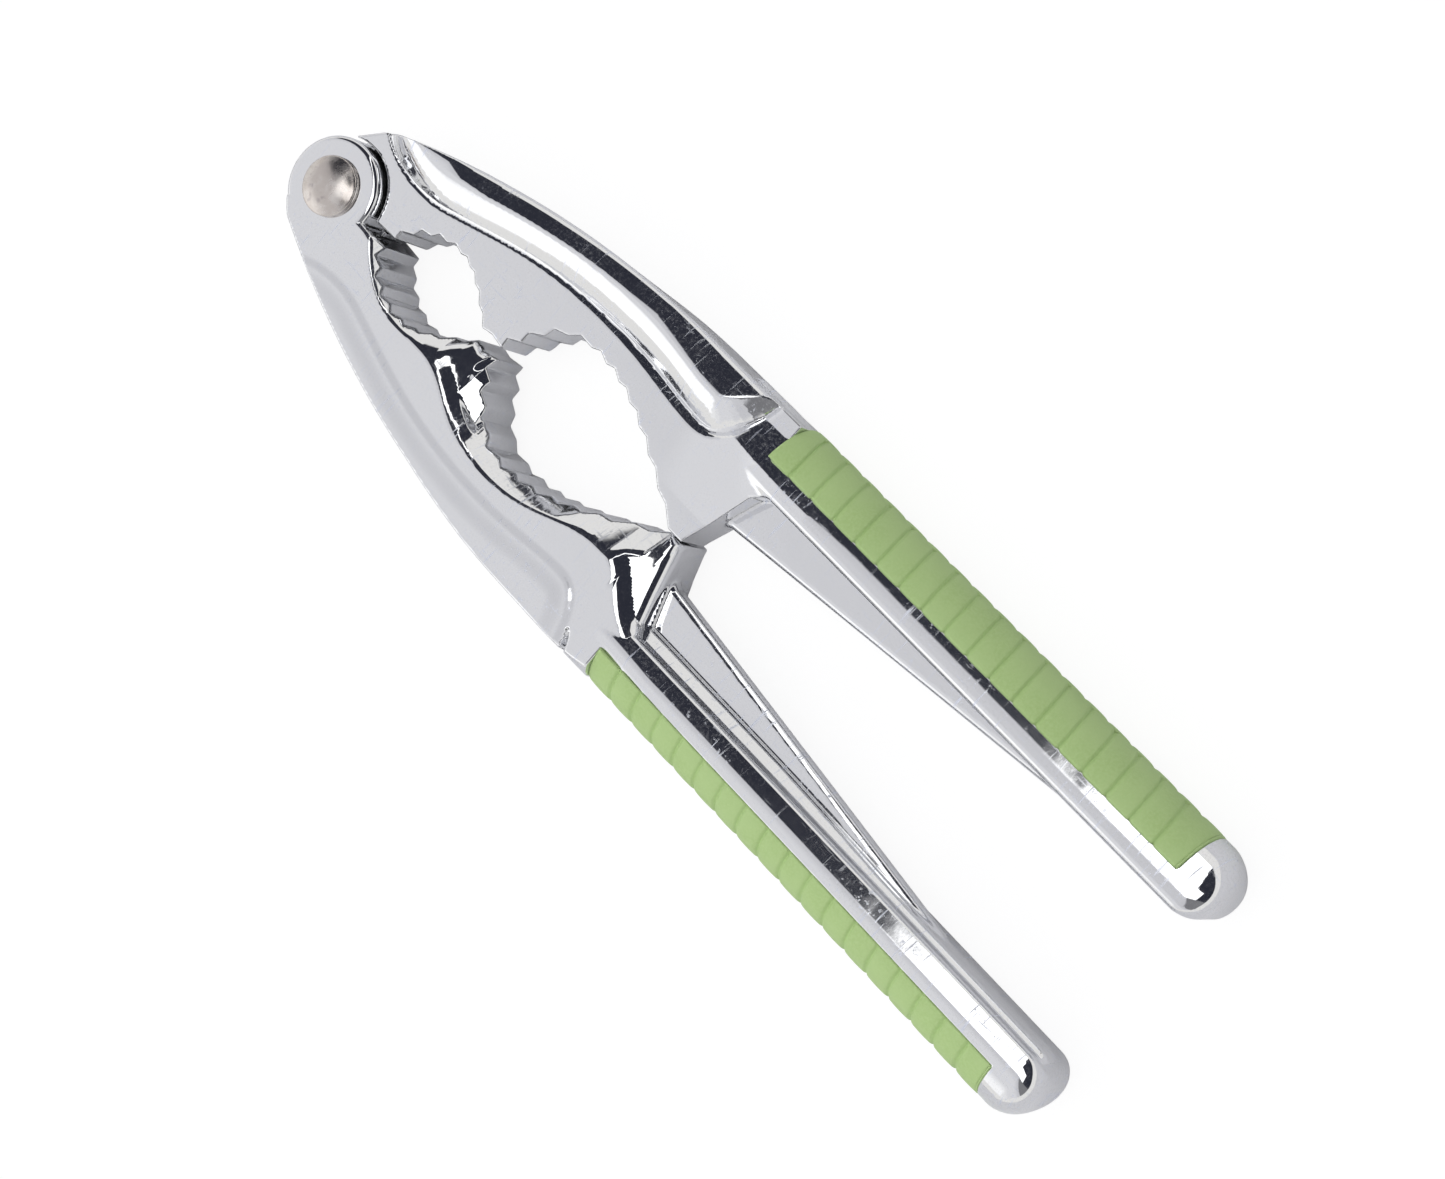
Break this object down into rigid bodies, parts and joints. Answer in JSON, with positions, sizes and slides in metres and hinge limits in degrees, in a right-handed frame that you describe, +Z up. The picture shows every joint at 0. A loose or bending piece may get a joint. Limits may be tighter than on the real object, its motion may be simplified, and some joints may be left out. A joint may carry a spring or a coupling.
{
  "type": "nutcracker",
  "caption": "Hand nutcracker: two hinged chrome arms with a small and a large toothed nut cavity and ribbed soft green grips.",
  "frame": {"origin": "bottom centre of the closed tool's overall box, lying flat on a table", "axes": "+X along the tool from the pivot towards the handle ends, +Z up through the flat of the tool, +Y towards the moving arm"},
  "size_m": [0.1634, 0.045, 0.0156],
  "materials": {
    "chrome": "polished chrome plate on a zinc die casting",
    "rivet_steel": "turned, softly brushed",
    "grip_rubber": "matt soft-touch, pale green"
  },
  "bodies": {
    "front_half": {"front_arm": "chrome", "pivot_rivet": "rivet_steel", "front_grip": "grip_rubber"},
    "rear_half": {"rear_arm": "chrome", "rear_grip": "grip_rubber"}
  },
  "joints": [
    {"name": "arm_pivot", "type": "hinge", "parent": "front_half", "child": "rear_half", "pos_m": [-0.0745, 0, 0.0072], "axis": [0, 0, 1], "range_deg": [0, 70]}
  ]
}
